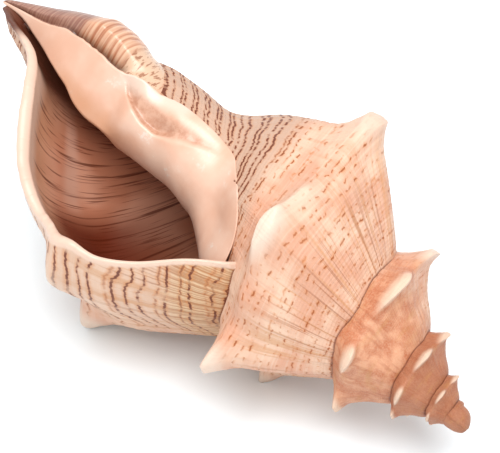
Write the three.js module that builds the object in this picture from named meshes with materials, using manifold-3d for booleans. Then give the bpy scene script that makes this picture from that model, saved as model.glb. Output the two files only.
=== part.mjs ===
// A conch shell: one whorled, knobbed spiral shell with an open aperture and a siphonal canal.
// Units are millimetres. The growing section is swept round the coiling axis while it scales up,
// the living chamber is cut out of the last whorl, and the columella with its callus is joined in.
// In the coiling frame the axis is Z with the apex at z = 0 and the canal at negative z; "turn"
// counts whorls, 0 at the lip and negative towards the apex. The finished shell is then turned to
// lie the way it rests on a table, with +Z up and the middle of its footprint at the origin.
import * as THREE from "three";
import { mergeVertices } from "three/addons/utils/BufferGeometryUtils.js";
import Module from "manifold-3d";

// ---- driving dimensions ----
const GROWTH_RADIUS = 1.69; // growth of the radius in one turn
const GROWTH_AXIAL = 1.78; // growth of the axial distance in one turn
const GROWTH_CANAL = 1.31; // growth of the canal's end in one turn
const AXIS_LENGTH = 156.5; // apex to the canal end, along the axis
const FIRST_TURN = -5.2; // where the spire starts
const CHAMBER_START = -0.85; // how far back the hollow reaches
const WALL = 2.2; // wall thickness at the lip
const CORE_RADIUS = 1.4; // inner edge of the swept section
const SHOULDER = 0.385; // section position of the shoulder
const FLARE = 2.0; // outward flare of the lip
const CALLUS = 1.2; // thickness of the callus over the columella
const BEND_ANGLE = THREE.MathUtils.degToRad(62); // side towards which the canal tip bends

// Section at the lip: position along it, radius, distance from the apex along the axis.
const SECTION = [
  [0.0, 20.5, 59.5],
  [0.06, 26.5, 65.5],
  [0.13, 33.8, 74.3],
  [0.2, 39.7, 82.3],
  [0.27, 44.0, 90.0],
  [0.34, 46.2, 97.2],
  [0.4, 46.0, 102.7],
  [0.46, 42.8, 109.7],
  [0.54, 37.2, 118.9],
  [0.62, 31.2, 128.6],
  [0.69, 25.0, 137.3],
  [0.75, 20.7, 144.9],
  [0.82, 18.9, 157.5],
  [0.91, 16.9, 181.0],
  [1.0, 14.5, 226.0],
];

// Shoulder knobs: turn, height, share of the height that leans along the axis (+ to the canal),
// width factor, and the share of the height left where the tip is worn flat.
const KNOBS = [
  [-0.135, 8.5, 0.1, 1, 1],
  [-0.262, 10.5, 0.1, 1, 1],
  [-0.42, 10.7, 0.0, 1, 1],
  [-0.575, 9.0, 0.1, 1, 1],
  [-0.735, 11.0, 0.42, 0.8, 0.68],
  [-0.845, 3.5, 0.2, 1, 1],
  [-0.935, 9.5, 0.4, 1, 1],
  [-1.03, 2.5, 0.1, 1, 1],
  [-1.135, 16.5, 0.1, 1, 1],
  [-1.305, 18.5, 0.0, 1, 1],
  [-1.42, 10.0, 0.0, 1, 1],
  [-1.545, 11.0, -0.1, 1, 1],
  [-1.665, 11.5, -0.3, 1, 1],
  [-1.835, 10.0, -0.3, 1, 1],
  [-2.01, 9.5, -0.3, 1, 1],
  [-2.19, 12.5, -0.35, 1, 1],
  [-2.35, 10.0, -0.3, 1, 1],
  [-2.5, 9.0, -0.3, 1, 1],
  [-2.65, 8.0, -0.3, 1, 1],
  [-2.78, 8.0, -0.3, 1, 1],
];
const SPIRE_KNOB_STEP = 0.155; // turns between the small knobs of the upper spire
const SPIRE_KNOB_COUNT = 13;
const SPIRE_KNOB = [9.0, -0.3, 1, 1]; // the rest of the row of each of those knobs
const KNOB_HALF_TURN = 0.04; // half width of a knob along the whorl
const KNOB_HALF_SECTION = 0.064; // half width of a knob across the whorl

// The lip: how far (in turns) its edge stands from a straight section.
const LIP = [
  [0, 0],
  [0.04, -0.013],
  [0.1, -0.033],
  [0.19, -0.068],
  [0.27, -0.083],
  [0.35, -0.088],
  [0.45, -0.108],
  [0.52, -0.118],
  [0.6, -0.1],
  [0.68, -0.06],
  [0.78, -0.035],
  [0.88, -0.03],
  [1, -0.03],
];

// The columella: distance from the apex, radius.
const COLUMELLA = [
  [58, 14.0],
  [70, 12.0],
  [77, 10.2],
  [84, 9.0],
  [94, 8.6],
  [105, 9.4],
  [115, 10.3],
  [122.5, 11.2],
  [127, 11.4],
  [132, 10.8],
  [137, 9.2],
  [140, 7.8],
  [145, 5.5],
  [149, 3.6],
  [152, 2.4],
  [156, 1.0],
];
// The free edge of the callus: distance from the apex, side angle in degrees.
const CALLUS_EDGE = [
  [60, 40],
  [68, 24],
  [72, 14],
  [78.8, 0],
  [84.5, -17],
  [90, -30],
  [95.3, -40],
  [99, -38],
  [106, -30],
  [113.4, -20],
  [120.8, -15],
  [124.4, -12],
  [132.6, -18],
  [140.4, -8],
  [146, 0],
  [157, 0],
];
// Sideways bend of the canal: distance from the apex, offset.
const BEND = [
  [60, 0],
  [100, 0],
  [122, 0.6],
  [132, 1.0],
  [140, 1.5],
  [148, 3.3],
  [157, 5.8],
];
const SIDE_ZERO = THREE.MathUtils.degToRad(22); // side angle of the lip

// How the shell lies: turns about X, Y and Z (three.js order XYZ) that bring the coiling frame to
// rest on three knobs, then the shift that puts the middle of the footprint at the origin.
const LIE = [180, 74.086, 55.561].map(THREE.MathUtils.degToRad);
const DROP = [76.465, 4.361, 17.85];

// ---- curves ----
const TAU = Math.PI * 2;
const clamp = (x, lo, hi) => Math.min(hi, Math.max(lo, x));
const smooth = (x) => {
  const t = clamp(x, 0, 1);
  return t * t * (3 - 2 * t);
};
const bell = (x, s) => Math.exp(-((x / s) ** 2));

// Straight interpolation in a table of [x, y].
function linear(table, x, column = 1) {
  if (x <= table[0][0]) return table[0][column];
  for (let i = 1; i < table.length; i++)
    if (x <= table[i][0]) {
      const a = table[i - 1];
      const b = table[i];
      return a[column] + ((b[column] - a[column]) * (x - a[0])) / (b[0] - a[0]);
    }
  return table[table.length - 1][column];
}

// Smooth interpolation (a cubic with averaged slopes) in the same kind of table.
function curve(table, x, column = 1) {
  const n = table.length;
  const t = clamp(x, table[0][0], table[n - 1][0]);
  let i = 0;
  while (i < n - 2 && t > table[i + 1][0]) i++;
  const slope = (k) => {
    const a = table[Math.max(k - 1, 0)];
    const b = table[Math.min(k + 1, n - 1)];
    return (b[column] - a[column]) / (b[0] - a[0]);
  };
  const h = table[i + 1][0] - table[i][0];
  const s = (t - table[i][0]) / h;
  const [y0, y1] = [table[i][column], table[i + 1][column]];
  const [m0, m1] = [slope(i) * h, slope(i + 1) * h];
  return (
    (2 * s ** 3 - 3 * s ** 2 + 1) * y0 +
    (s ** 3 - 2 * s ** 2 + s) * m0 +
    (-2 * s ** 3 + 3 * s ** 2) * y1 +
    (s ** 3 - s ** 2) * m1
  );
}

const knobs = [...KNOBS];
for (let i = 1; i <= SPIRE_KNOB_COUNT; i++)
  knobs.push([KNOBS[KNOBS.length - 1][0] - SPIRE_KNOB_STEP * i, ...SPIRE_KNOB]);

// Height of the knobs at a place on the whorl, and its part along the axis.
function knobAt(turn, v) {
  let height = 0;
  let lean = 0;
  for (const [at, tall, tilt, wide, worn] of knobs) {
    const d = (turn - at) / wide;
    if (Math.abs(d) > 0.2) continue;
    const far = (d / KNOB_HALF_TURN) ** 2 + ((v - SHOULDER) / KNOB_HALF_SECTION) ** 2;
    const tip = tall * Math.min(worn, Math.exp(-(far ** 0.72)));
    height += 0.88 * tip + 0.26 * tall * worn * bell(d, 0.046) * bell(v - 0.32, 0.15);
    lean += tilt * tip;
  }
  return [height, lean];
}

// Radius and z of the outer surface at a turn and a section position.
function outline(turn, v, knobShare = 1) {
  const late = Math.exp(turn / 0.22);
  const canal = 1 / (1 + Math.exp(-(turn + 0.3) / 0.07));
  let radius = curve(SECTION, v, 1);
  radius *= 1 - 0.12 * smooth((v - 0.66) / 0.2) * late - canal * linear(CANAL_TAPER, v);
  radius += FLARE * bell(v - 0.56, 0.15) * Math.exp(turn / 0.16);
  const [height, lean] = knobAt(turn, v);
  radius = (radius + height * knobShare) * GROWTH_RADIUS ** turn;
  let z = (curve(SECTION, v, 2) + lean * knobShare) * GROWTH_AXIAL ** turn;
  const end = AXIS_LENGTH * GROWTH_CANAL ** turn;
  const knee = 0.74 * end;
  if (z > knee) z = knee + (end - knee) * Math.tanh((z - knee) / (end - knee));
  return [radius, -z];
}
// Taper of the canal wall near the lip: section position, share of the radius taken away.
const CANAL_TAPER = [
  [0.75, 0],
  [0.82, 0.07],
  [0.91, 0.32],
  [0.955, 0.52],
  [1, 0.78],
];

function place(radius, z, angle) {
  const off = curve(BEND, -z);
  return new THREE.Vector3(
    radius * Math.cos(angle) + off * Math.cos(BEND_ANGLE),
    radius * Math.sin(angle) + off * Math.sin(BEND_ANGLE),
    z,
  );
}
const lipAt = (v) => curve(LIP, v);

function outerPoint(turn, v) {
  const [radius, z] = outline(turn, v);
  return place(radius, z, -TAU * turn);
}
// The core side of the swept section, at the same height as the outer point.
function corePoint(turn, v) {
  const [, z] = outline(turn, v);
  return place(CORE_RADIUS, z, -TAU * turn);
}
// The chamber wall, one wall thickness inside the outer surface.
function chamberPoint(turn, v) {
  const e = 0.004;
  const [r, z] = outline(turn, v, 0.25);
  const [ra, za] = outline(turn, clamp(v - e, 0, 1), 0.25);
  const [rb, zb] = outline(turn, clamp(v + e, 0, 1), 0.25);
  const n = Math.hypot(rb - ra, zb - za);
  const t = WALL * (0.35 + 0.65 * GROWTH_RADIUS ** turn);
  const radius = r + ((zb - za) / n) * t;
  return place(Math.max(radius, CORE_RADIUS + 0.3), z - ((rb - ra) / n) * t, -TAU * turn);
}
function chamberCore(turn, v) {
  const p = chamberPoint(turn, v);
  return place(CORE_RADIUS - 0.4, p.z, -TAU * turn);
}

// ---- solids ----
const wasm = await Module();
wasm.setup();

// The closed body between two grids of points of the same size.
function slab(top, bottom) {
  const rows = top.length;
  const cols = top[0].length;
  const points = [...top.flat(), ...bottom.flat()];
  const T = (i, j) => i * cols + j;
  const B = (i, j) => rows * cols + i * cols + j;
  const faces = [];
  const quad = (a, b, c, d) => faces.push(a, b, c, a, c, d);
  for (let i = 0; i < rows - 1; i++)
    for (let j = 0; j < cols - 1; j++) {
      quad(T(i, j), T(i + 1, j), T(i + 1, j + 1), T(i, j + 1));
      quad(B(i, j), B(i, j + 1), B(i + 1, j + 1), B(i + 1, j));
    }
  for (let i = 0; i < rows - 1; i++) {
    quad(T(i, 0), B(i, 0), B(i + 1, 0), T(i + 1, 0));
    quad(T(i, cols - 1), T(i + 1, cols - 1), B(i + 1, cols - 1), B(i, cols - 1));
  }
  for (let j = 0; j < cols - 1; j++) {
    quad(T(0, j), T(0, j + 1), B(0, j + 1), B(0, j));
    quad(T(rows - 1, j), B(rows - 1, j), B(rows - 1, j + 1), T(rows - 1, j + 1));
  }
  return solid(points, faces);
}

// A closed three.js geometry as a solid, turned to face outwards.
function solid(points, faces) {
  const geometry = new THREE.BufferGeometry().setFromPoints(points);
  geometry.setIndex(faces);
  return closed(geometry);
}
function closed(geometry) {
  const merged = mergeVertices(geometry, 1e-4);
  const p = merged.attributes.position.array;
  const triVerts = [];
  const index = merged.index.array;
  let six = 0;
  const a = new THREE.Vector3();
  const b = new THREE.Vector3();
  const c = new THREE.Vector3();
  for (let i = 0; i < index.length; i += 3) {
    const [u, v, w] = [index[i], index[i + 1], index[i + 2]];
    if (u === v || v === w || w === u) continue;
    triVerts.push(u, v, w);
    a.fromArray(p, 3 * u);
    b.fromArray(p, 3 * v);
    c.fromArray(p, 3 * w);
    six += a.dot(b.cross(c));
  }
  if (six < 0)
    for (let i = 0; i < triVerts.length; i += 3)
      [triVerts[i + 1], triVerts[i + 2]] = [triVerts[i + 2], triVerts[i + 1]];
  return new wasm.Manifold(
    new wasm.Mesh({ numProp: 3, vertProperties: p, triVerts: new Uint32Array(triVerts) }),
  );
}

// Section positions: closer together over the shoulder.
const ACROSS = [
  0, 0.05, 0.11, 0.17, 0.23, 0.28, 0.325, 0.36, 0.385, 0.41, 0.445, 0.49, 0.55, 0.62, 0.69, 0.75,
  0.82, 0.87, 0.91, 0.955, 1,
];
const ACROSS_SPIRE = ACROSS.filter((v) => v < 0.8);
const ACROSS_CHAMBER = [
  0.03, 0.08, 0.14, 0.21, 0.28, 0.34, 0.385, 0.43, 0.49, 0.55, 0.62, 0.69, 0.75, 0.82, 0.9, 0.95, 0.98,
];

// Turns at which the section is placed: on each knob, on its flanks and between knobs.
const stations = [];
for (let i = 0; i < knobs.length; i++) {
  const at = knobs[i][0];
  const next = i + 1 < knobs.length ? knobs[i + 1][0] : at - SPIRE_KNOB_STEP;
  stations.push(at + 0.026, at, at - 0.026, (at + next) / 2);
}
stations.push(-0.055, -0.025, 0);
const turns = stations.filter((t) => t > FIRST_TURN).sort((a, b) => a - b);

// The whorls between two turns as one solid; shorter than a turn, so it never meets itself.
// The straight sections bend into the curve of the lip over the last quarter turn.
const towardsLip = (turn, v) => turn + lipAt(v) * smooth(1 + turn / 0.3);
function whorl(from, to, across) {
  const rows = turns.filter((t) => t >= from - 1e-9 && t <= to + 1e-9);
  return slab(
    rows.map((t) => across.map((v) => outerPoint(towardsLip(t, v), v))),
    rows.map((t) => across.map((v) => corePoint(towardsLip(t, v), v))),
  );
}
function nearest(t) {
  return turns.reduce((a, b) => (Math.abs(b - t) < Math.abs(a - t) ? b : a));
}
const SPLIT = [turns[0], -4.4, -3.6, -2.8, -2.0, -1.5].map(nearest);
let early = null;
for (let i = 0; i + 1 < SPLIT.length; i++) {
  const piece = whorl(SPLIT[i], SPLIT[i + 1], ACROSS_SPIRE);
  early = early ? early.add(piece) : piece;
}
early = early.add(whorl(SPLIT[5], nearest(-0.79), ACROSS));
const last = whorl(nearest(-0.845), nearest(-0.4), ACROSS).add(whorl(nearest(-0.4), 0, ACROSS));

// The living chamber, open through the lip.
const hollowTurns = [];
for (let t = CHAMBER_START; t < 0.02; t += 0.035) hollowTurns.push(t);
hollowTurns.push(0.03);
function hollow(rows) {
  return slab(
    rows.map((t) => ACROSS_CHAMBER.map((v) => chamberPoint(t + lipAt(v) * smooth(1 + Math.min(t, 0) / 0.3), v))),
    rows.map((t) => ACROSS_CHAMBER.map((v) => chamberCore(t + lipAt(v) * smooth(1 + Math.min(t, 0) / 0.3), v))),
  );
}
const half = Math.floor(hollowTurns.length / 2);
const chamber = hollow(hollowTurns.slice(0, half + 1)).add(hollow(hollowTurns.slice(half)));

// The columella and its callus: a radius for each height and side angle.
const SIDES = 36;
const LEVELS = 34;
// Outer radius of the whorl one turn back, at a height and a side angle.
function wallRadius(height, side) {
  const turn = -(side - SIDE_ZERO) / TAU - 1;
  let before = outline(turn, 0.4, 0);
  if (height < -before[1]) return 0;
  for (let v = 0.42; v <= 1.0001; v += 0.02) {
    const here = outline(turn, Math.min(v, 1), 0);
    if (-here[1] >= height) {
      const s = (height + before[1]) / (before[1] - here[1]);
      return before[0] + (here[0] - before[0]) * s;
    }
    before = here;
  }
  return 0;
}
// The first columns of the grid follow the free edge of the callus: buried, edge, crest, then even steps.
function sideOf(height, k) {
  const edge = THREE.MathUtils.degToRad(curve(CALLUS_EDGE, height));
  if (k < 2) return edge + 0.05 * k;
  return edge + 0.05 + ((TAU - 0.12) * (k - 1)) / (SIDES - 1);
}
function columellaRadius(height, side, k) {
  const base = linear(COLUMELLA, height) + 0.9 * bell(height - 130, 12) * Math.max(0, -Math.sin(side));
  if (k === 0) return Math.max(base, wallRadius(height, side)) - 0.4;
  const back = smooth((2.75 - side) / 0.3);
  return back > 0.001 ? Math.max(base, wallRadius(height, side)) + CALLUS * back : base;
}
const levels = [];
for (let i = 0; i < LEVELS; i++) levels.push(58 + ((156 - 58) * i) / (LEVELS - 1));
const columnPoints = [];
for (const height of levels)
  for (let k = 0; k < SIDES; k++) {
    const side = sideOf(height, k);
    columnPoints.push(place(columellaRadius(height, side, k), -height, side - SIDE_ZERO));
  }
const columnFaces = [];
for (let i = 0; i < LEVELS - 1; i++)
  for (let k = 0; k < SIDES; k++) {
    const m = (k + 1) % SIDES;
    const [a, b, c, d] = [i * SIDES + k, i * SIDES + m, (i + 1) * SIDES + m, (i + 1) * SIDES + k];
    columnFaces.push(a, b, c, a, c, d);
  }
columnPoints.push(place(0, -58, 0), place(0, -156.6, 0));
for (let k = 0; k < SIDES; k++) {
  const m = (k + 1) % SIDES;
  columnFaces.push(LEVELS * SIDES, m, k);
  columnFaces.push(LEVELS * SIDES + 1, (LEVELS - 1) * SIDES + k, (LEVELS - 1) * SIDES + m);
}
const columella = solid(columnPoints, columnFaces);

// The rounded first whorl at the apex.
const [tipRadius] = outline(turns[0], SHOULDER);
const tip = new THREE.IcosahedronGeometry(tipRadius * 1.05, 2);
tip.deleteAttribute("normal");
tip.deleteAttribute("uv");
tip.translate(0, 0, outline(turns[0], 0.3)[1]);
const apex = closed(tip);

// The table: takes the sharp ends off the three knobs the shell rests on.
const lying = new THREE.Matrix4().compose(
  new THREE.Vector3(...DROP),
  new THREE.Quaternion().setFromEuler(new THREE.Euler(...LIE, "XYZ")),
  new THREE.Vector3(1, 1, 1),
);
const slabUnder = new THREE.BoxGeometry(400, 400, 60);
slabUnder.deleteAttribute("normal");
slabUnder.deleteAttribute("uv");
slabUnder.translate(0, 0, -30);
slabUnder.applyMatrix4(lying.clone().invert());
const table = closed(slabUnder);

const body = last.subtract(chamber).add(early).add(columella).add(apex).subtract(table).simplify(0.02);

// ---- the mesh ----
const mesh = body.getMesh();
const shellGeometry = new THREE.BufferGeometry();
shellGeometry.setAttribute("position", new THREE.BufferAttribute(new Float32Array(mesh.vertProperties), 3));
shellGeometry.setIndex(new THREE.BufferAttribute(new Uint32Array(mesh.triVerts), 1));
shellGeometry.computeVertexNormals();

const material = new THREE.MeshStandardMaterial({ color: 0xe8bfa0, roughness: 0.4, metalness: 0 });
const shell = new THREE.Mesh(shellGeometry, material);
shell.name = "shell";
shell.rotation.set(...LIE, "XYZ");
shell.position.set(...DROP);

const part = new THREE.Group();
part.add(shell);
export default part;
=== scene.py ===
# A conch shell on a pale floor: knobbed whorls, an open aperture, a columella with its callus.
# The shape is worked out in millimetres in the coiling frame (axis Z, apex at z = 0, canal at
# negative z) and then turned into the row frame, where it lies on three knobs, in metres.
# "turn" counts whorls, 0 at the lip and negative towards the apex; "v" runs across the section
# of a whorl, 0 at the suture and 1 at the canal's end; "side" is the angle round the axis, 0 where
# the aperture's middle faces.
import math

import bpy
import numpy as np
from mathutils import Matrix, Vector


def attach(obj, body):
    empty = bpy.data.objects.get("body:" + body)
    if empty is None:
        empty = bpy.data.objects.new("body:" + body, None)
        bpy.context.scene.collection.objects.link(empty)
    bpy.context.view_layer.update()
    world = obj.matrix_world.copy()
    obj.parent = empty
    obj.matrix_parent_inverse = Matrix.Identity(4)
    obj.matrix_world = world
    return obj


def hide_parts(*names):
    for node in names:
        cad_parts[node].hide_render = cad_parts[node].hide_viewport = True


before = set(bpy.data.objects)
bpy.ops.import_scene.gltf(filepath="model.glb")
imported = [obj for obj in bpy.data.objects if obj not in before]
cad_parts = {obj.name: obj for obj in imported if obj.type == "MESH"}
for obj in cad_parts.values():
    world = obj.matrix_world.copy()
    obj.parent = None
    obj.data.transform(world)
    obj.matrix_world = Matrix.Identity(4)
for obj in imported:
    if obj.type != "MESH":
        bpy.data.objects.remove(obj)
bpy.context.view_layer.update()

# ---- driving dimensions ----
GROWTH_RADIUS = 1.69  # growth of the radius over one whorl
GROWTH_AXIAL = 1.78  # growth along the axis over one whorl
GROWTH_CANAL = 1.31  # growth of the canal's end over one whorl
AXIS_LENGTH = 156.5  # from the apex to the canal's end
FIRST_TURN = -5.2  # where the coil starts
LAST_START = -1.3  # where the last whorl's mesh takes over from the spire's
CHAMBER_START = -0.88  # as deep as the chamber is modelled
SHOULDER = 0.385  # the shoulder's position across the section
FLARE = 2.0  # how far the last part widens
LIP_SWELL = 3.4  # how far it bulges below the shoulder, by the lip
BEND_ANGLE = math.radians(62)  # direction in which the axis bends
SIDE_ZERO = math.radians(22)  # the lip's side
TAU = 2 * math.pi
NECK_SLIM = 3.0  # the neck is slimmer on the back
RAMP_HOLLOW, SPIRE_HOLLOW = 1.5, 2.3  # hollow of the ramp above the shoulder, and more on the spire
SUTURE_TUCK = 3.0  # how far the sheet's edge tucks into the whorl before
CANAL_TUCK = 0.42  # share by which the canal's end closes on the column behind the lip
CANAL_KNEE = 0.74  # share of the axis beyond which the canal's growth slows down
CALLUS_BED = 0.8  # how deep the whorl is let in under the callus
CALLUS_PAD = 4.2  # how far the callus swells towards the suture
ROOF_GAP = 1.3  # from the callus to the outside of the lip's wall over it
CHAMBER_WALL = 2.2  # thickness of the wall away from the lip
LEAST_RADIUS = 0.3  # keeps the chamber and the column open on the axis
BEAD_RADIUS, BEAD_HEIGHT = 3.2, 5.4  # the worn first whorl, and its middle's distance from the apex

SECTION = [  # position across the section, radius, distance from the apex
    (0.0, 20.5, 59.5), (0.06, 26.5, 65.5), (0.13, 33.8, 74.3), (0.2, 39.7, 82.3),
    (0.27, 44.0, 90.0), (0.34, 46.2, 97.2), (0.4, 46.0, 102.7), (0.46, 42.8, 109.7),
    (0.54, 37.2, 118.9), (0.62, 31.2, 128.6), (0.69, 25.0, 137.3), (0.75, 20.7, 144.9),
    (0.82, 18.9, 157.5), (0.91, 16.9, 181.0), (1.0, 14.5, 226.0),
]
KNOBS = [  # turn, height, lean along the axis, width factor, share left where the tip is worn
    (-0.135, 4.2, 0.1, 1.3, 1), (-0.25, 10.5, 0.1, 1, 1), (-0.42, 10.7, 0.0, 1, 1),
    (-0.575, 9.0, 0.1, 1, 1), (-0.735, 18.5, -0.02, 0.8, 0.55), (-0.882, 4.5, 0.2, 1, 0.8),
    (-0.935, 13.5, 0.4, 1, 0.7), (-1.03, 2.5, 0.1, 1, 1), (-1.135, 17.5, 0.1, 1, 0.9),
    (-1.305, 24.5, 0.0, 1, 0.85), (-1.42, 10.0, 0.0, 1, 1), (-1.545, 11.0, -0.1, 1, 1),
    (-1.685, 17.5, -0.5, 1.3, 0.68), (-1.835, 12.0, -0.7, 1.5, 0.75), (-2.01, 12.5, -0.8, 1, 0.75),
    (-2.19, 14.5, -0.6, 1.1, 0.8), (-2.35, 10.0, -0.6, 1, 1), (-2.52, 9.0, -0.6, 1, 1),
    (-2.74, 13.0, -0.8, 1.2, 0.65), (-2.87, 11.5, -0.6, 1.3, 0.75), (-3.03, 12.0, -0.6, 1.2, 0.75),
    (-3.15, 13.0, -0.6, 1.2, 0.7), (-3.3, 9.0, -0.6, 1, 1), (-3.45, 9.0, -0.6, 1, 1),
    (-3.6, 9.0, -0.6, 1, 1), (-3.76, 12.0, -0.6, 1.3, 0.7), (-3.91, 12.0, -0.6, 1.3, 0.7),
    (-4.08, 11.0, -0.6, 1.3, 0.7), (-4.25, 8.0, -0.6, 1.3, 0.7),
]
KNOB_BEFORE, KNOB_AFTER = 0.05, 0.033  # half length of a knob before and after its tip, in turns
KNOB_UP, KNOB_DOWN = 0.064, 0.047  # half width of a knob across the section, to either side
KNOB_REACH = 0.2  # turns from its tip beyond which a knob isn't felt
FOLD_SHARE = 0.4  # height of the fold that runs across the whorl from a knob, as a share of it
SHOULDER_DROP = 3.6  # how far the shoulder falls between knobs
CANAL_TAPER = [  # position across the section, share by which the radius shrinks at the lip
    (0.6, 0), (0.65, 0.06), (0.69, 0.13), (0.72, 0.19), (0.75, 0.24), (0.79, 0.29), (0.82, 0.33),
    (0.87, 0.44), (0.91, 0.57), (0.955, 0.7), (1, 0.97),
]
LIP = [  # position across the section, how far the lip's edge stands from straight, in turns
    (0, 0), (0.04, -0.013), (0.1, -0.033), (0.19, -0.068), (0.27, -0.083), (0.35, -0.088),
    (0.45, -0.108), (0.52, -0.118), (0.6, -0.1), (0.68, -0.06), (0.78, -0.035), (0.88, -0.03),
    (1, -0.03),
]
WALL = [  # position across the section, thickness of the lip's edge
    (0, 0.7), (0.2, 0.8), (0.4, 1.0), (0.48, 1.4), (0.56, 2.4), (0.7, 2.6), (0.8, 1.8), (1, 1.0),
]
COLUMN_TOP, COLUMN_TIP = 58, 156.4  # where the columella's mesh starts and ends
CLOSING = 1.5  # length of the column's rounded tip
COLUMELLA = [  # distance from the apex, radius
    (58, 14.0), (70, 12.0), (77, 10.2), (84, 9.0), (94, 8.6), (105, 9.4), (114, 10.6),
    (119, 11.0), (122, 11.8), (126, 12.3), (131.3, 11.9), (134, 10.3), (137, 8.8), (144.5, 5.1),
    (151, 2.7), (156.5, 0.8),
]
CALLUS_EDGE = [  # distance from the apex, side angle of the callus's free edge in degrees
    (58, 75), (62, 54), (64.5, 35), (66.5, 20), (69, 9), (73, -1), (76, -8), (80, -18), (83, -28),
    (87, -35), (91, -38), (94, -38), (98.4, -38), (102.8, -36), (108.1, -29), (114.3, -25),
    (119.2, -17), (124, -16), (128.9, -16), (132.8, -16), (138, -13), (141.4, -2), (144, 5),
    (148, 8), (157, 8),
]
# thickness of the callus along the axis, and at its free edge
CALLUS = [(58, 0.35), (90, 0.45), (98, 0.9), (110, 1.2), (130, 1.2), (148, 0.9), (157, 0.5)]
CALLUS_RIM = [(58, 0.45), (96, 0.55), (104, 0.6), (112, 1.0), (130, 1.2), (148, 0.9), (157, 0.5)]
GROOVE = [  # distance from the apex, middle and half width as side angles in degrees
    (84, -27, 6), (88, -24, 8), (92, -19, 12), (97, -11, 19), (102, -5, 24), (106.4, -4.5, 23),
    (110.6, -7, 18), (113.8, -11, 14), (116, -16, 6.5), (118, -17, 3),
]
PLATE = [  # distance from the apex, radius and side angle of the callus plate's inner edge
    (110, 11.2, 63), (115.5, 11.7, 65), (119.6, 12.0, 65), (124, 11.3, 64), (128.3, 9.8, 59),
    (131.4, 9.1, 57), (137, 7.4, 56), (143.5, 5.0, 49), (147.7, 3.4, 32), (151.4, 1.9, 26),
    (157, 0.7, 25),
]
GROOVE_DEPTH = 1.8  # on average where it is deepest
PLATE_FACE = math.radians(20)  # side that the flat of the callus plate faces
# distance from the apex, how far the axis is bent there
BEND = [(60, 0), (100, 0), (122, 0.6), (132, 1.0), (140, 1.5), (148, 3.3), (157, 5.8)]
# turns about X, Y and Z and then a shift, from the coiling frame to the shell as it lies
LIE = (math.radians(180), math.radians(74.086), math.radians(55.561))
DROP = (76.465, 4.361, 17.85)


# ---- curves and noise ----
def smooth(x):
    """A step from 0 at 0 to 1 at 1, level at both ends."""
    t = np.clip(x, 0, 1)
    return t * t * (3 - 2 * t)


def bell(x, s):
    return np.exp(-((x / s) ** 2))


def linear(table, x, column=1):
    t = np.array(table, float)
    return np.interp(x, t[:, 0], t[:, column])


def curve(table, x, column=1):
    """Smooth interpolation, a cubic with averaged slopes."""
    t = np.array(table, float)
    xs, ys = t[:, 0], t[:, column]
    n = len(xs)
    lo, hi = np.maximum(np.arange(n) - 1, 0), np.minimum(np.arange(n) + 1, n - 1)
    slope = (ys[hi] - ys[lo]) / (xs[hi] - xs[lo])
    x = np.clip(x, xs[0], xs[-1])
    i = np.clip(np.searchsorted(xs, x, side="left") - 1, 0, n - 2)
    h = xs[i + 1] - xs[i]
    s = (x - xs[i]) / h
    return (
        (2 * s**3 - 3 * s**2 + 1) * ys[i]
        + (s**3 - 2 * s**2 + s) * slope[i] * h
        + (-2 * s**3 + 3 * s**2) * ys[i + 1]
        + (s**3 - s**2) * slope[i + 1] * h
    )


CELLS = 128  # the noise repeats after this many swings
LATTICE = np.random.default_rng(7).uniform(-1, 1, (8, CELLS, CELLS))


def rough(x, y, layer):
    """Smooth random values between -1 and 1, one swing for each unit of x and y."""
    x, y = np.broadcast_arrays(np.asarray(x, float), np.asarray(y, float))
    i, j = np.floor(x).astype(int), np.floor(y).astype(int)
    a, b = smooth(x - i), smooth(y - j)
    g = LATTICE[layer]
    i, j, k, m = i % CELLS, j % CELLS, (i + 1) % CELLS, (j + 1) % CELLS
    return (g[i, j] * (1 - a) + g[k, j] * a) * (1 - b) + (g[i, m] * (1 - a) + g[k, m] * a) * b


def spread(low, high, count, density):
    """Positions from low to high, closer together where the density is higher."""
    x = np.linspace(low, high, 4000)
    total = np.concatenate([[0], np.cumsum(density((x[1:] + x[:-1]) / 2))])
    return np.interp(np.linspace(0, total[-1], count), total, x)


def half_turns(angle):
    """The same angle between minus and plus half a turn."""
    return (angle + math.pi) % TAU - math.pi


# ---- the growing section ----
def knob_at(turn, v):
    """Height of the knobs, its part along the axis, and how near a knob's tip the place is."""
    turn, v = np.broadcast_arrays(np.asarray(turn, float), np.asarray(v, float))
    height, lean, tip_share = np.zeros(turn.shape), np.zeros(turn.shape), np.zeros(turn.shape)
    for at, tall, tilt, wide, worn in KNOBS:
        d = (turn - at) / wide
        near = np.abs(d) <= KNOB_REACH
        if not near.any():
            continue
        d, u = d[near], v[near]
        length = np.where(d > 0, KNOB_AFTER, KNOB_BEFORE)
        width = np.where(u > SHOULDER, KNOB_DOWN, KNOB_UP)
        far = (d / length) ** 2 + ((u - SHOULDER) / width) ** 2
        tip = tall * np.minimum(worn, np.exp(-(far**0.8)))
        # a low fold runs across the whorl on both sides of the knob
        fold = bell(d, 0.036) * (bell(u - 0.25, 0.16) + 0.6 * bell(u - 0.48, 0.09))
        height[near] += 0.88 * tip + FOLD_SHARE * tall * worn * fold
        lean[near] += tilt * tip
        tip_share[near] = np.maximum(tip_share[near], tip / tall * min(1.0, tall / 8))
    return height, lean, tip_share


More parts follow.
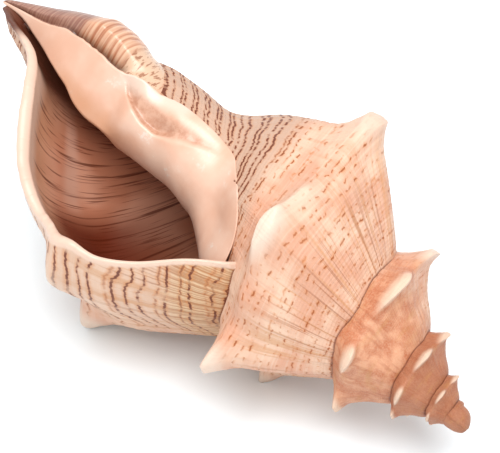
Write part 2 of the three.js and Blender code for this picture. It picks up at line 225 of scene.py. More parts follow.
def outline(turn, v, knob_share=1.0):
    """Radius and z of the outer surface."""
    late = np.exp(turn / 0.22)
    canal = 1 / (1 + np.exp(-(turn + 0.3) / 0.07))
    radius = curve(SECTION, v)
    radius = radius * (1 - 0.12 * smooth((v - 0.66) / 0.2) * late - canal * linear(CANAL_TAPER, v))
    radius = radius + FLARE * bell(v - 0.56, 0.15) * np.exp(turn / 0.16)
    radius = radius + LIP_SWELL * bell(v - 0.57, 0.075) * np.exp(turn / 0.25)
    on_back = smooth((-0.42 - turn) / 0.15) * smooth((1.1 + turn) / 0.15)
    radius = radius - NECK_SLIM * bell(v - 0.69, 0.07) * on_back
    radius = radius - (RAMP_HOLLOW + SPIRE_HOLLOW * smooth((-1.3 - turn) / 0.3)) * bell(v - 0.19, 0.085)
    radius = radius - SUTURE_TUCK * smooth((0.05 - v) / 0.05) * smooth((turn + 0.4) / 0.2)
    radius = radius * (1 - CANAL_TUCK * smooth((v - 0.86) / 0.14) * smooth((-0.17 - turn) / 0.15))
    height, lean, near_tip = knob_at(turn, v)
    dip = SHOULDER_DROP * bell(v - SHOULDER - 0.01, 0.1) * (1 - np.minimum(1, near_tip * 1.15))
    radius = (radius + height * knob_share - dip) * GROWTH_RADIUS**turn
    z = (curve(SECTION, v, 2) + lean * knob_share) * GROWTH_AXIAL**turn
    end = AXIS_LENGTH * GROWTH_CANAL**turn
    knee = CANAL_KNEE * end
    bent = knee + (end - knee) * np.tanh(np.maximum(z - knee, 0) / (end - knee))
    return radius, -np.where(z > knee, bent, z)


def place(radius, z, angle):
    """Points in the coiling frame, with the axis bent towards the canal."""
    off = curve(BEND, -z)
    return np.stack(
        [
            radius * np.cos(angle) + off * math.cos(BEND_ANGLE),
            radius * np.sin(angle) + off * math.sin(BEND_ANGLE),
            z + 0 * angle,
        ],
        axis=-1,
    )


def to_lip(turn, v):
    """The straight sections bend into the lip's curve over the last quarter turn."""
    edge = curve(LIP, v) + 0.0016 * rough(v * 95, 0.5, 1) * smooth((v - 0.4) / 0.1)
    return turn + edge * smooth(1 + turn / 0.3)


def radius_at(distance, turn, first, last, steps):
    """Outer radius at a distance from the apex, 0 where the part from first to last isn't there."""
    radius, z = outline(turn[..., None], np.linspace(first, last, steps))
    out = np.zeros(turn.shape)
    for k in range(steps - 1):
        a, b = -z[..., k], -z[..., k + 1]
        inside = (distance >= a) & (distance < b)
        s = np.where(inside, (distance - a) / np.maximum(b - a, 1e-6), 0)
        out = np.where(inside, radius[..., k] + (radius[..., k + 1] - radius[..., k]) * s, out)
    return out


def groove_depth(distance, side):
    """The peeled hollow between the callus and the last whorl's base."""
    middle, half_width = np.radians(linear(GROOVE, distance)), np.radians(linear(GROOVE, distance, 2))
    x = (half_turns(side) - middle) / half_width
    ends = smooth((118.5 - distance) / 6) * smooth((distance - 82) / 18)
    folds = 1 + 0.25 * rough(distance / 2.5, half_turns(side) * 5, 6)
    bank = 0.35 + 0.8 * smooth((104 - distance) / 8)
    return GROOVE_DEPTH * folds * ends * smooth((1 - x) / bank) * smooth((1 + x) / 1.9)


def callus_bed(distance, side):
    """How far the whorl is let in where the callus lies over it."""
    covered = smooth((side - np.radians(curve(CALLUS_EDGE, distance))) / 0.12 - 0.3)
    return CALLUS_BED * covered * smooth((2.8 - side) / 0.2) * smooth((distance - 60) / 3)


def arc_table():
    """Section positions with the arc length from the suture, for the spiral lines."""
    v = np.linspace(0, 1, 400)
    radius, along_axis = curve(SECTION, v), np.minimum(curve(SECTION, v, 2), 175)
    return v, np.concatenate([[0], np.cumsum(np.hypot(np.diff(radius), np.diff(along_axis)))])


ARC_TABLE = arc_table()


def arc_of(v):
    return np.interp(v, *ARC_TABLE)


def relief(turn, v):
    """Fine relief of the outer surface in millimetres at the lip's scale."""
    arc = arc_of(v)
    grow = rough(turn * 46, v * 2.2, 2)
    ridge = 1 - np.abs(rough(turn * 27, v * 1.5, 3))
    cords = 0.5 + 0.5 * np.cos(TAU * arc / 3.1 + 1.5 * rough(turn * 12, arc / 9, 4))
    swell = rough(turn * 11, v * 7, 5)
    return 0.18 * grow + 0.34 * ridge**5 + 0.13 * cords + 0.45 * swell


# ---- meshes ----
TURN = np.array(
    Matrix.Rotation(LIE[0], 3, "X") @ Matrix.Rotation(LIE[1], 3, "Y") @ Matrix.Rotation(LIE[2], 3, "Z")
)


def to_row_frame(points):
    p = points @ TURN.T + np.array(DROP)
    p[..., 2] = np.maximum(p[..., 2], 0.0)  # worn flat where it stands
    return p / 1000


def normals_of(points):
    """Unit normals of a grid of points."""
    n = np.cross(np.gradient(points, axis=0), np.gradient(points, axis=1))
    return n / np.maximum(np.linalg.norm(n, axis=-1, keepdims=True), 1e-9)


def grid_faces(rows, columns, start=0, closed=False):
    """Quads of a grid of points; a closed grid joins its last column to its first."""
    steps = columns if closed else columns - 1
    i, j = np.meshgrid(np.arange(rows - 1), np.arange(steps), indexing="ij")
    k = (j + 1) % columns
    a, b = i * columns + j, (i + 1) * columns + j
    c, d = (i + 1) * columns + k, i * columns + k
    return np.stack([a, b, c, d], axis=-1).reshape(-1, 4) + start


def make_piece(name, points, faces, growth, values, slots, materials):
    """A mesh piece from points in the coiling frame, quads, two growth coordinates and named values."""
    mesh = bpy.data.meshes.new(name)
    mesh.vertices.add(len(points))
    mesh.vertices.foreach_set("co", to_row_frame(points).astype(np.float32).ravel())
    mesh.loops.add(4 * len(faces))
    mesh.loops.foreach_set("vertex_index", faces.astype(np.int32).ravel())
    mesh.polygons.add(len(faces))
    mesh.polygons.foreach_set("loop_start", np.arange(0, 4 * len(faces), 4, dtype=np.int32))
    mesh.polygons.foreach_set("material_index", slots.astype(np.int32))
    mesh.update(calc_edges=True)
    uv = mesh.uv_layers.new(name="grow")
    uv.data.foreach_set("uv", growth[faces.ravel()].astype(np.float32).ravel())
    for key, value in values.items():
        layer = mesh.attributes.new(key, "FLOAT", "POINT")
        layer.data.foreach_set("value", value.astype(np.float32).ravel())
    mesh.polygons.foreach_set("use_smooth", np.ones(len(faces), bool))
    for material in materials:
        mesh.materials.append(material)
    mesh.validate()
    piece = bpy.data.objects.new(name, mesh)
    bpy.context.collection.objects.link(piece)
    return piece


def outer_grid(turns, vs):
    """Points of the outside with its groove, callus bed and relief, and their growth positions."""
    turn = to_lip(turns[:, None], vs[None, :])
    v = np.broadcast_to(vs[None, :], turn.shape)
    radius, z = outline(turn, v)
    angle = -TAU * turn
    side = angle + SIDE_ZERO
    radius = radius - groove_depth(-z, side) - callus_bed(-z, side - TAU)
    p = place(radius, z, angle)
    n = normals_of(p)
    outward = np.sign(np.sum(n[..., :2] * p[..., :2]))
    towards_lip = smooth(-turn / 0.02) * 0.5 + 0.5
    return p + n * outward * (relief(turn, v) * GROWTH_RADIUS**turn * towards_lip)[..., None], turn, v


def chamber_grid(turns, vs):
    """The same for the inside, a wall's thickness in from the outside."""
    turn = to_lip(turns[:, None], vs[None, :])
    v = np.broadcast_to(vs[None, :], turn.shape)
    step, knob_share = 0.004, 0.3
    r, z = outline(turn, v, knob_share)
    ra, za = outline(turn, np.clip(v - step, 0, 1), knob_share)
    rb, zb = outline(turn, np.clip(v + step, 0, 1), knob_share)
    n = np.hypot(rb - ra, zb - za)
    full = CHAMBER_WALL * (0.35 + 0.65 * GROWTH_RADIUS**turn)
    edge = curve(WALL, v)
    t = edge + (full - edge) * smooth(-turns[:, None] / 0.08)
    radius = np.maximum(r + (zb - za) / n * t, LEAST_RADIUS)
    return place(radius, z - (rb - ra) / n * t, -TAU * turn), turn, v


def shoulder_density(v):
    return 1 + 1.2 * bell(v - SHOULDER, 0.07)


def knob_density(turn):
    d = GROWTH_RADIUS ** (0.8 * turn)
    for at, *_ in KNOBS:
        d = d + 0.9 * GROWTH_RADIUS ** (0.8 * at) * bell(turn - at, 0.03)
    return d


def rim_rows(outside, inside, steps=9):
    """Rows that round the lip from the outside's last row to the inside's."""
    a, b = outside[-1], inside[-1]
    forward = outside[-1] - outside[-3]
    forward = forward / np.linalg.norm(forward, axis=-1, keepdims=True)
    middle, half = (a + b) / 2, (a - b) / 2
    width = np.linalg.norm(half, axis=-1, keepdims=True)
    rows = []
    for k in range(1, steps):
        t = math.pi * k / steps
        rows.append(middle + half * math.cos(t) + forward * width * 0.8 * math.sin(t))
    return np.array(rows)


def suture_distance(points, turn, v):
    """How far the surface stands off the whorl that it is built on, in millimetres."""
    far = np.full(turn.shape, 9.0)
    near = v < 0.2
    whorl_before = radius_at(-points[..., 2][near], turn[near] - 1, 0.25, 0.62, 38)
    far[near] = np.hypot(points[..., 0][near], points[..., 1][near]) - whorl_before
    return far


def whorl_values(points, turn, v, straight):
    """Values for the materials; straight is each row's turn before the lip's own curve."""
    _, _, tip = knob_at(turn, v)
    from_lip = -straight[:, None] * TAU * np.hypot(points[..., 0], points[..., 1])
    return {
        "knob": tip.ravel(),
        "seam": suture_distance(points, turn, v).ravel(),
        "rimward": from_lip.ravel(),
        "across": np.broadcast_to(v, turn.shape).ravel().copy(),
    }


def growth_pairs(turn, arc):
    return np.stack([turn, arc], axis=-1).reshape(-1, 2)


def last_whorl():
    """Outside, lip and chamber as one folded sheet."""
    vs = spread(0, 1, 165, lambda v: shoulder_density(v) - 0.35 * (v > 0.85))
    outside_rows = spread(LAST_START, 0, 330, knob_density)
    inside_rows = np.linspace(CHAMBER_START, 0, 150)
    outside, outside_turn, _ = outer_grid(outside_rows, vs)
    inside, inside_turn, _ = chamber_grid(inside_rows, vs)
    rim = rim_rows(outside, inside)
    points = np.concatenate([outside, rim, inside[::-1]])
    turn = np.concatenate([outside_turn, np.repeat(outside_turn[-1:], len(rim), 0), inside_turn[::-1]])
    v = np.broadcast_to(vs, turn.shape)
    straight = np.concatenate([outside_rows, np.zeros(len(rim)), inside_rows[::-1]])
    rows, columns = turn.shape
    slots = np.repeat((np.arange(rows - 1) >= len(outside) - 1).astype(int), columns - 1)
    values = whorl_values(points, turn, v, straight)
    growth = growth_pairs(turn, arc_of(v))
    return points.reshape(-1, 3), grid_faces(rows, columns), growth, values, slots


def apex_bead():
    """The worn first whorl: a low rounded bead with a trace of the coil."""
    around = np.linspace(0, TAU, 48, endpoint=False)
    polar, around = np.meshgrid(np.linspace(0.02, 2.0, 22), around, indexing="ij")
    coil = 0.14 * np.cos(around - 3.4 * polar) * smooth(polar / 0.5)
    radius = BEAD_RADIUS + coil + 0.05 * rough(polar * 4, around * 3, 7)
    p = place(radius * np.sin(polar), -BEAD_HEIGHT + 1.3 * radius * np.cos(polar), around)
    return p, polar, around


def spire():
    """The whorls before the last one, closed by the bead at the apex."""
    turns = spread(FIRST_TURN, LAST_START, 600, lambda t: GROWTH_RADIUS ** (0.75 * t))
    whorls, turn, v = outer_grid(turns, spread(0, 0.66, 110, shoulder_density))
    bead, polar, around = apex_bead()
    points = np.concatenate([whorls.reshape(-1, 3), bead.reshape(-1, 3)])
    bead_faces = grid_faces(*polar.shape, start=turn.size, closed=True)
    faces = np.concatenate([grid_faces(*turn.shape), bead_faces])
    bead_growth = growth_pairs(FIRST_TURN - around / TAU, polar * 20)
    growth = np.concatenate([growth_pairs(turn, arc_of(v)), bead_growth])
    values = whorl_values(whorls, turn, v, turns)
    for key, value in (("knob", 0.15), ("seam", 9), ("rimward", 900), ("across", 0.3)):
        values[key] = np.concatenate([values[key], np.full(polar.size, value)])
    return points, faces, growth, values, np.zeros(len(faces), int)


def rope_phase(h, side):
    """Phase of the curved lamellae on the ridge behind the canal."""
    bow = ((np.degrees(half_turns(side)) + 55) / 60) ** 2
    unevenness = 3.6 * rough(h / 2.7, side * 1.3, 3) + 1.5 * rough(h / 0.9, side * 2, 4)
    return TAU * (h + 3 * bow) / 1.6 + unevenness


def column_radius(h, side, sheet):
    """Radius of the columella with the callus over it; sheet is the callus's thickness."""
    rope = smooth((h - 120) / 2.5) * smooth((135 - h) / 2.5)
    base = linear(COLUMELLA, h) + 0.08 * rope * np.sin(rope_phase(h, side))
    turn = (SIDE_ZERO - side) / TAU
    whorl_before = radius_at(h, turn - 1, 0.4, 1.0, 61)
    lifted = 0.5 * (base + whorl_before + np.sqrt((base - whorl_before) ** 2 + 1.5))
    front = smooth((2.75 - side) / 0.3)
    radius = base + (lifted + sheet - base) * front
    # towards the suture the callus spreads out into a wide pad, which stays under the lip's wall
    radius = radius + CALLUS_PAD * smooth((85 - h) / 12) * smooth((side - 0.3) / 0.7) * front
    roof = radius_at(h, turn, 0.0, 0.4, 61)
    covered = (roof > 0) * smooth((side - SIDE_ZERO - 0.02) / 0.12)
    radius = radius - covered * np.maximum(radius - (roof - ROOF_GAP), 0)
    # along the canal the callus is a flat plate with a sharp inner edge
    inner = np.radians(curve(PLATE, h, 2))
    turned_to = np.minimum(side, inner) - PLATE_FACE
    plate = curve(PLATE, h) * np.cos(inner - PLATE_FACE) / np.cos(turned_to)
    plate = plate * (1 - 0.5 * smooth((side - inner) / 0.9))
    return radius + (plate - radius) * front * smooth((h - 109) / 7)


def columella():
    """The column with its callus, one closed row after another from the suture to the canal's tip."""
    heights = np.linspace(COLUMN_TOP, COLUMN_TIP, 225)
    offsets = np.concatenate(  # angles from the free edge round to it again
        [
            np.linspace(0.03, 2.9, 120),
            np.linspace(2.93, TAU - 1.6, 24),
            np.linspace(TAU - 1.55, TAU - 0.02, 56),
        ]
    )
    edge = np.radians(curve(CALLUS_EDGE, heights))
    chips = 0.03 * rough(heights / 3.4, 0.5, 6) + 0.02 * rough(heights / 1.1, 4.5, 6)
    edge = edge + smooth((heights - 100) / 8) * chips
    side = edge[:, None] + offsets
    hc, ec = heights[:, None], edge[:, None]
    h = np.broadcast_to(hc, side.shape)
    rim = curve(CALLUS_RIM, heights)[:, None]
    sheet = rim + (curve(CALLUS, heights)[:, None] - rim) * smooth(offsets / 0.5)
    radius = column_radius(h, side, sheet)
    # the free edge stands over the surface behind it, with a gap where the canal's ridge ends
    gap = 0.2 + 1.5 * smooth((hc - 118) / 3) * smooth((136 - hc) / 3)
    sunk = np.minimum(radius, radius[:, :1] - rim - gap)
    radius = radius + (sunk - radius) * smooth((offsets - (TAU - 0.5)) / 0.36)
    groove = groove_depth(h, side)
    closing = np.sqrt(np.clip(1 - ((hc - (COLUMN_TIP - CLOSING)) / CLOSING).clip(0) ** 2, 0, 1))
    radius = (radius - groove) * closing
    rim = rim * closing

    def top_at(offset):
        return np.array([np.interp(offset, offsets, row) for row in radius])[:, None]

    # under side and rounded rim of the free edge, then the top
    rows = [place(top_at(0.26) - rim - gap - 0.3, -hc, ec + 0.26 - SIDE_ZERO)]
    for offset in (0.26, 0.15, 0.05):
        rows.append(place(top_at(offset) - rim - 0.1, -hc, ec + offset - SIDE_ZERO))
    r0 = radius[:, :1]
    for a in np.linspace(-math.pi / 2, math.pi / 2, 7)[1:-1]:
        bulge = rim * 0.5 * math.cos(a) / np.maximum(r0, LEAST_RADIUS)
        rows.append(place(r0 - rim / 2 + rim / 2 * math.sin(a), -hc, ec + 0.03 - bulge - SIDE_ZERO))
    under = np.concatenate(rows, axis=1)
    points = np.concatenate([under, place(radius, -h, side - SIDE_ZERO)], axis=1)
    # 1 behind the free edge, rising to 2 right under it, where the callus material paints the shadow
    # under the edge
    behind = smooth((offsets - 3.1) / 0.3) * smooth((h - 108) / 4)
    behind = behind * (1 + smooth((offsets - (TAU - 0.42)) / 0.36))
    values = {
        "distance": h,
        "side": side,
        "groove": groove / GROOVE_DEPTH,
        "behind": behind,
        "rope": 0.5 + 0.5 * np.sin(rope_phase(h, side)),
        "inward": offsets * radius,
    }
    pad = ((0, 0), (under.shape[1], 0))
    values = {key: np.pad(value, pad, mode="edge").ravel() for key, value in values.items()}
    faces = grid_faces(*points.shape[:2], closed=True)
    growth = growth_pairs(values["side"], values["distance"] / 100)
    return points.reshape(-1, 3), faces, growth, values, np.zeros(len(faces), int)


# ---- materials ----
LIGHT_SHARE = 0.73  # what a face towards the light needs to look its own colour
LINE_PERIOD = 6.3  # millimetres of arc between pairs of spiral lines, at the lip's scale
CORD_PERIOD = 1.55  # the same between the fine spiral cords


class Nodes:
    """A material's node tree, built with short calls. Every call returns an output socket."""

    def __init__(self, name):
        self.material = bpy.data.materials.new(name)
        self.material.use_nodes = True
        self.tree = self.material.node_tree
        self.tree.nodes.clear()

    def add(self, kind, **settings):
        made = self.tree.nodes.new(kind)
        for key, value in settings.items():
            setattr(made, key, value)
        return made

    def link(self, value, socket):
        if isinstance(value, bpy.types.NodeSocket):
            self.tree.links.new(value, socket)
        elif isinstance(value, (tuple, list)) and len(value) == 3 and len(socket.default_value) == 4:
            socket.default_value = (*value, 1)
        else:
            socket.default_value = value

    def math(self, operation, *values, clamp=False):
        made = self.add("ShaderNodeMath", operation=operation, use_clamp=clamp)
        for value, socket in zip(values, made.inputs):
            self.link(value, socket)
        return made.outputs[0]

    def plus(self, a, b):
        return self.math("ADD", a, b)

    def times(self, a, b):
        return self.math("MULTIPLY", a, b)

    def step(self, value, low, high, to_low=0.0, to_high=1.0):
        """A smooth step from to_low at low to to_high at high."""
        made = self.add("ShaderNodeMapRange", interpolation_type="SMOOTHSTEP")
        for x, socket in zip((value, low, high, to_low, to_high), made.inputs):
            self.link(x, socket)
        return made.outputs[0]

    def vector(self, x, y, z=0.0):
        made = self.add("ShaderNodeCombineXYZ")
        for value, socket in zip((x, y, z), made.inputs):
            self.link(value, socket)
        return made.outputs[0]

    def noise(self, vector, scale=1.0, detail=2.0, roughness=0.5):
        made = self.add("ShaderNodeTexNoise")
        self.link(vector, made.inputs["Vector"])
        made.inputs["Scale"].default_value = scale
        made.inputs["Detail"].default_value = detail
        made.inputs["Roughness"].default_value = roughness
        return made.outputs["Fac"]

    def mix(self, share, a, b):
        made = self.add("ShaderNodeMix", data_type="RGBA", blend_type="MIX")
        self.link(share, made.inputs[0])
        self.link(a, made.inputs[6])
        self.link(b, made.inputs[7])
        return made.outputs[2]

    def centred(self, value, amount):
        """A value about 0.5 turned into one about 0, times an amount."""
        return self.times(self.math("SUBTRACT", value, 0.5), amount)

    def value(self, name):
        return self.add("ShaderNodeAttribute", attribute_name=name).outputs["Fac"]

    def growth(self):
        """The two growth coordinates: turn and arc length from the suture."""
        uv = self.add("ShaderNodeUVMap", uv_map="grow").outputs[0]
        split = self.add("ShaderNodeSeparateXYZ")
        self.link(uv, split.inputs[0])
        self.turn, self.arc = split.outputs[0], split.outputs[1]
        return self.turn, self.arc

    def grow_noise(self, per_turn, per_mm, detail=2.0, seed=0.0):
        """Noise drawn out along the growth coordinates."""
        along, over = self.times(self.turn, per_turn), self.times(self.arc, per_mm)
        return self.noise(self.vector(along, over, seed), 1.0, detail)

    def bumps(self, *layers):
        """Bump nodes one after another; each layer is (height, strength, distance in metres)."""
        normal = None
        for height, strength, distance in layers:
            made = self.add("ShaderNodeBump")
            made.inputs["Strength"].default_value = strength
            made.inputs["Distance"].default_value = distance
            self.link(height, made.inputs["Height"])
            if normal is not None:
                self.link(normal, made.inputs["Normal"])
            normal = made.outputs[0]
        return normal

    def surface(self, colour, roughness, normal, coat=0.0, specular=0.5):
        shader = self.add("ShaderNodeBsdfPrincipled")
        self.link(colour, shader.inputs["Base Color"])
        self.link(roughness, shader.inputs["Roughness"])
        self.link(normal, shader.inputs["Normal"])
        shader.inputs["Specular IOR Level"].default_value = specular
        shader.inputs["Coat Weight"].default_value = coat
        shader.inputs["Coat Roughness"].default_value = 0.25
        out = self.add("ShaderNodeOutputMaterial")
        self.tree.links.new(shader.outputs[0], out.inputs["Surface"])
        return self.material


def seen(r, g, b):
    """A base colour from how it looks in this light, given as 0-255 display values."""
    return tuple(LIGHT_SHARE * ((c / 255 + 0.055) / 1.055) ** 2.4 for c in (r, g, b))


def outside_material():
    n = Nodes("shell_outside")
    turn, arc = n.growth()
    knob, seam, rimward, across_v = (n.value(k) for k in ("knob", "seam", "rimward", "across"))

    # base: peach and cream, drawn out in both growth directions
    band = n.step(rimward, 55, 35)
    neck = n.times(n.step(across_v, 0.5, 0.6), n.step(turn, -1.25, -1.0))
    steady = n.math("MAXIMUM", band, neck)
    cloud = n.grow_noise(10, 0.07, 3, 1)
    streak = n.grow_noise(75, 0.035, 3, 2)
    spiral = n.grow_noise(5, 0.9, 3, 3)
    colour = n.mix(n.step(cloud, 0.36, 0.64), seen(234, 174, 144), seen(250, 208, 180))
    colour = n.mix(n.step(streak, 0.5, 0.75, 0, 0.5), colour, seen(226, 160, 124))
    colour = n.mix(n.step(spiral, 0.5, 0.72, 0, 0.35), colour, seen(252, 224, 200))
    colour = n.mix(n.times(steady, n.step(cloud, 0.3, 0.7, 0.8, 0.4)), colour, seen(234, 200, 174))
    # the neck is darker: partly its own tone, partly painted shade
    colour = n.mix(n.times(neck, 0.7), colour, seen(212, 172, 148))
    # ochre growth streaks, strongest on the ramp above the shoulder
    growth_line = n.grow_noise(130, 0.012, 2, 11)
    ramp = n.times(n.step(across_v, 0.4, 0.2), n.step(growth_line, 0.52, 0.66))
    colour = n.mix(n.times(ramp, 0.5), colour, seen(216, 150, 92))
    crack = n.times(n.step(across_v, 0.36, 0.1), n.step(n.grow_noise(190, 0.014, 1, 13), 0.6, 0.66))
    colour = n.mix(n.times(crack, 0.55), colour, seen(164, 96, 56))
    # tan zone by the suture near the lip
    tan = n.times(n.step(across_v, 0.17, 0.1), n.step(turn, -0.5, -0.2))
    layers = n.step(n.grow_noise(300, 0.01, 2, 12), 0.4, 0.6)
    tan_colour = n.mix(layers, seen(196, 140, 96), seen(238, 200, 160))
    colour = n.mix(tan, colour, tan_colour)
    # spiral lines, in pairs, wavy and broken
    zigzag = n.centred(n.grow_noise(170, 0.05, 2, 4), 1.8)
    wave = n.centred(n.grow_noise(26, 0.045, 1, 5), 3.4)
    periods = n.math("DIVIDE", n.plus(arc, n.plus(zigzag, wave)), LINE_PERIOD)
    pair = n.math("FLOOR", periods)
    part = n.math("SUBTRACT", periods, pair)
    own = n.noise(n.vector(pair, 3.7, 0.0), 1.7, 0)  # each pair's own character
    second = n.step(own, 0.3, 0.7, 0.58, 0.8)
    near_one = n.times(n.math("ABSOLUTE", n.math("SUBTRACT", part, 0.3)), LINE_PERIOD)
    near_two = n.times(n.math("ABSOLUTE", n.math("SUBTRACT", part, second)), LINE_PERIOD)
    # on the body they fall apart into short dashes
    dash = n.grow_noise(105, 0.3, 1, 6)
    patch = n.grow_noise(14, 0.12, 2, 7)
    ink = n.plus(n.step(dash, 0.47, 0.6), n.step(patch, 0.42, 0.68, -0.5, 0.25))
    ink = n.plus(ink, n.times(steady, n.step(dash, 0.3, 0.5, 0.45, 0.95)))
    ink = n.math("MULTIPLY", ink, n.step(knob, 0.7, 0.2), clamp=True)
    wide = n.times(neck, 0.14)
    line_one = n.times(n.step(near_one, n.plus(wide, 0.46), n.plus(wide, 0.2)), ink)
    paired = n.math("MAXIMUM", n.step(own, 0.35, 0.6, 0.3, 0.95), neck)
    line_two = n.times(n.step(near_two, n.plus(wide, 0.38), n.plus(wide, 0.16)), n.times(ink, paired))
    near_line = n.math("MAXIMUM", n.step(near_one, 1.5, 0.2), n.step(near_two, 1.1, 0.2))
    halo = n.times(near_line, n.times(ink, 0.5))
    colour = n.mix(halo, colour, seen(222, 136, 66))
    ink_colour = n.mix(steady, seen(172, 90, 36), seen(108, 36, 8))
    colour = n.mix(n.times(n.math("MAXIMUM", line_one, line_two), 0.9), colour, ink_colour)
    # knobs are worn to a pale cream
    colour = n.mix(n.step(knob, 0.3, 0.72, 0, 0.85), colour, seen(253, 228, 208))
    # the spire is salmon to orange brown, finely scratched and mottled
    spire_share = n.step(n.plus(turn, n.centred(cloud, 0.3)), -1.66, -1.86)
    place_at = n.add("ShaderNodeTexCoord").outputs["Object"]
    mottle = n.noise(place_at, 2600, 3, 0.7)
    blotch = n.noise(place_at, 260, 3, 0.6)
    warm = n.mix(n.step(blotch, 0.35, 0.68), seen(208, 124, 84), seen(240, 174, 136))
    warm = n.mix(n.step(mottle, 0.35, 0.7, 0, 0.35), warm, seen(246, 204, 172))
    oldest = n.mix(mottle, seen(158, 84, 52), seen(204, 134, 98))
    warm = n.mix(n.step(turn, -1.9, -2.8, 0, 0.75), warm, oldest)
    warm = n.mix(n.step(n.grow_noise(9, 0.12, 2, 8), 0.5, 0.8, 0, 0.6), warm, seen(214, 154, 96))
    warm = n.mix(n.times(n.step(streak, 0.5, 0.7), 0.4), warm, seen(186, 104, 66))
    warm = n.mix(n.step(knob, 0.3, 0.68, 0, 0.85), warm, seen(252, 220, 194))
    colour = n.mix(spire_share, colour, warm)
    # thin dark seam between whorls
    seam_edge = n.plus(n.math("ABSOLUTE", seam), n.centred(streak, 0.5))
    colour = n.mix(n.step(seam_edge, 0.8, 0.1, 0, 0.75), colour, seen(124, 62, 40))
    # the lip's edge is plain cream
    pale_edge = n.times(n.step(rimward, 1.4, 0.5), n.step(across_v, 0.83, 0.77))
    colour = n.mix(pale_edge, colour, seen(246, 212, 190))
    fine = n.grow_noise(420, 0.04, 2, 9)
    cords = n.math("SINE", n.times(arc, TAU / CORD_PERIOD))
    bumps = ((fine, 0.5, 0.0004), (streak, 0.5, 0.0006), (cords, 0.25, 0.0001), (mottle, 0.15, 0.0003))
    normal = n.bumps(*bumps)
    rough_map = n.step(streak, 0.3, 0.7, 0.42, 0.58)
    return n.surface(colour, rough_map, normal, coat=0.05, specular=0.3)


def inside_material():
    n = Nodes("shell_inside")
    turn, _ = n.growth()
    rimward, across_v = n.value("rimward"), n.value("across")
    # brown strokes that follow the whorl's growth
    long_stroke = n.step(n.grow_noise(7, 0.95, 2, 1), 0.54, 0.68)
    short_stroke = n.step(n.grow_noise(14, 1.5, 1, 5), 0.6, 0.72)
    stroke = n.math("MAXIMUM", long_stroke, n.times(short_stroke, 0.8))
    cloud = n.step(n.grow_noise(9, 0.05, 2, 2), 0.4, 0.62)
    base = n.mix(cloud, seen(212, 138, 106), seen(234, 168, 138))
    # under_shoulder and low carry painted shade: darker deep in the chamber and towards the canal
    under_shoulder = n.times(n.step(across_v, 0.6, 0.45), n.step(rimward, 90, 25))
    low = n.math("MAXIMUM", n.step(across_v, 0.66, 0.8), under_shoulder)
    base = n.mix(n.step(rimward, 26, 6, 0, 0.6), base, seen(238, 184, 146))
    base = n.mix(n.times(low, 0.9), base, seen(84, 26, 10))
    # painted shade darkens the hollow under the shoulder near the lip; a pale band painted as a
    # highlight crosses the wall above it
    near_lip = n.times(n.step(turn, -0.38, -0.26), n.step(rimward, 12, 26))
    hollow = n.times(n.step(across_v, 0.605, 0.52), near_lip)
    base = n.mix(n.times(hollow, 0.86), base, seen(108, 32, 10))
    # pale is a painted highlight: a narrow light streak down the wall
    pale = n.step(n.math("ABSOLUTE", n.plus(turn, 0.222)), 0.024, 0.004)
    pale = n.times(pale, n.times(n.step(across_v, 0.56, 0.62), n.step(across_v, 0.75, 0.7)))
    base = n.mix(n.times(pale, 0.5), base, seen(232, 186, 164))
    base = n.mix(n.times(stroke, 0.75), base, seen(98, 36, 16))
    # the rim is plain cream down to the canal
    deep = n.math("MAXIMUM", n.step(rimward, 3.0, 10), n.step(across_v, 0.77, 0.83))
    colour = n.mix(deep, seen(246, 210, 188), base)
    normal = n.bumps((stroke, 0.2, 0.0003))
    return n.surface(colour, n.step(rimward, 2, 8, 0.4, 0.28), normal, coat=0.3, specular=0.3)


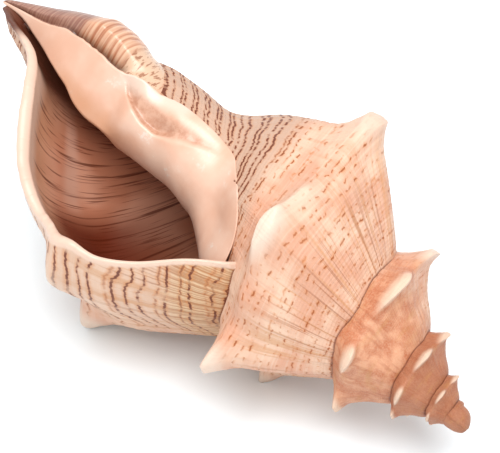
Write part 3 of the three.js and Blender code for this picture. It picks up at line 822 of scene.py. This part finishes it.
def callus_material():
    n = Nodes("callus")
    distance, side, groove = n.value("distance"), n.value("side"), n.value("groove")
    place_at = n.add("ShaderNodeTexCoord").outputs["Object"]
    cloud = n.noise(place_at, 90, 3)
    colour = n.mix(n.step(cloud, 0.35, 0.65), seen(243, 192, 164), seen(252, 212, 188))
    scuff = n.noise(place_at, 420, 4, 0.7)
    worn = n.times(n.step(cloud, 0.5, 0.62), n.step(scuff, 0.56, 0.64))
    colour = n.mix(n.times(worn, 0.8), colour, seen(255, 236, 222))
    # golden brown along the plate's inner edge
    along_plate = n.times(n.step(distance, 138, 128), n.step(distance, 104, 112))
    golden = n.times(n.step(side, 0.6, 1.05), along_plate)
    colour = n.mix(n.times(golden, 0.6), colour, seen(218, 154, 110))
    groove_colour = n.mix(n.step(scuff, 0.35, 0.65), seen(206, 148, 118), seen(228, 178, 150))
    colour = n.mix(n.step(groove, 0.03, 0.45), colour, groove_colour)
    # the worn ridge along the free edge by the groove is whitish
    ridge = n.times(n.step(n.value("inward"), 4.5, 1.5), n.step(distance, 97, 101))
    ridge = n.times(ridge, n.step(distance, 120, 116))
    colour = n.mix(n.times(ridge, 0.7), colour, seen(250, 226, 208))
    # behind the free edge: a plain brown strip, the rope of lamellae, then cream with brown dashes
    behind = n.value("behind")
    grain = n.noise(n.vector(n.times(distance, 1.6), n.times(side, 0.5)), 1.0, 3)
    strip = n.mix(n.step(grain, 0.4, 0.62), seen(158, 108, 92), seen(190, 144, 124))
    ropes = n.value("rope")
    lamella = n.mix(n.step(n.plus(ropes, grain), 0.5, 1.3), seen(196, 126, 90), seen(244, 198, 164))
    lamella = n.mix(n.step(grain, 0.45, 0.65, 0, 0.7), lamella, seen(222, 160, 126))
    dashes = n.noise(n.vector(n.times(distance, 1.5), n.times(side, 4.5), 5.0), 1.0, 2)
    cream = n.mix(n.step(dashes, 0.52, 0.64, 0, 0.8), seen(238, 198, 166), seen(160, 94, 58))
    back = n.mix(n.step(distance, 119.5, 122), cream, lamella)
    back = n.mix(n.step(distance, 133, 136), back, strip)
    colour = n.mix(n.math("MINIMUM", behind, 1), colour, back)
    # painted shadow under the free edge, where the column stands clear of it
    along_ridge = n.times(n.step(distance, 117, 121), n.step(distance, 141, 135))
    painted_shadow = n.times(n.step(behind, 1.2, 1.9), along_ridge)
    colour = n.mix(n.times(painted_shadow, 0.85), colour, seen(82, 44, 30))
    normal = n.bumps((scuff, 0.12, 0.0003), (grain, 0.2, 0.0003))
    return n.surface(colour, n.step(scuff, 0.3, 0.7, 0.28, 0.4), normal, coat=0.2)


outside_look, inside_look, callus_look = outside_material(), inside_material(), callus_material()
pieces = [
    make_piece("shell_last_whorl", *last_whorl(), [outside_look, inside_look]),
    make_piece("shell_spire", *spire(), [outside_look]),
    make_piece("shell_columella", *columella(), [callus_look]),
]
for piece in pieces:
    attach(piece, "root")
    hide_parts("shell")

# ---- floor, light and camera, in metres ----
FLOOR_REACH = 3
CAMERA_RIGHT, CAMERA_UP, CAMERA_BACK = -0.051115, 0.047654, 0.57692  # from the apex


def make_floor():
    r = FLOOR_REACH
    mesh = bpy.data.meshes.new("floor")
    mesh.from_pydata([(-r, -r, 0), (r, -r, 0), (r, r, 0), (-r, r, 0)], [], [(0, 1, 2, 3)])
    floor = bpy.data.objects.new("floor", mesh)
    bpy.context.collection.objects.link(floor)
    material = bpy.data.materials.new("floor")
    material.use_nodes = True
    shader = material.node_tree.nodes["Principled BSDF"]
    shader.inputs["Base Color"].default_value = (0.86, 0.92, 0.95, 1)
    shader.inputs["Roughness"].default_value = 0.9
    shader.inputs["Specular IOR Level"].default_value = 0.1
    mesh.materials.append(material)


def make_world(strength):
    world = bpy.data.worlds.new("studio")
    bpy.context.scene.world = world
    world.use_nodes = True
    background = world.node_tree.nodes["Background"]
    background.inputs["Color"].default_value = (1, 1, 1, 1)
    background.inputs["Strength"].default_value = strength


def softbox(name, position, size, power, aim=(0, 0, 0.02)):
    data = bpy.data.lights.new(name, "AREA")
    data.shape = "DISK"
    data.size = size
    data.energy = power
    lamp = bpy.data.objects.new(name, data)
    lamp.location = position
    lamp.rotation_mode = "QUATERNION"
    lamp.rotation_quaternion = (Vector(position) - Vector(aim)).to_track_quat("Z", "Y")
    bpy.context.collection.objects.link(lamp)


def make_camera():
    """The camera's right and backward directions in the row frame, and its place from the apex."""
    right = Vector((0.730, 0.682, 0.048)).normalized()
    back = Vector((0.454, -0.536, 0.711)).normalized()
    up = back.cross(right).normalized()
    right = up.cross(back).normalized()
    spot = Vector(DROP) / 1000 + CAMERA_RIGHT * right + CAMERA_UP * up + CAMERA_BACK * back
    data = bpy.data.cameras.new("camera")
    data.lens, data.sensor_width = 180, 36
    data.clip_start, data.clip_end = 0.01, 20
    camera = bpy.data.objects.new("camera", data)
    camera.matrix_world = Matrix.Translation(spot) @ Matrix((right, up, back)).transposed().to_4x4()
    bpy.context.collection.objects.link(camera)
    bpy.context.scene.camera = camera
    bpy.context.scene.view_settings.view_transform = "Standard"


make_floor()
make_world(0.85)
make_camera()
softbox("overhead", (0.16, -0.2, 0.95), 0.8, 10.2)
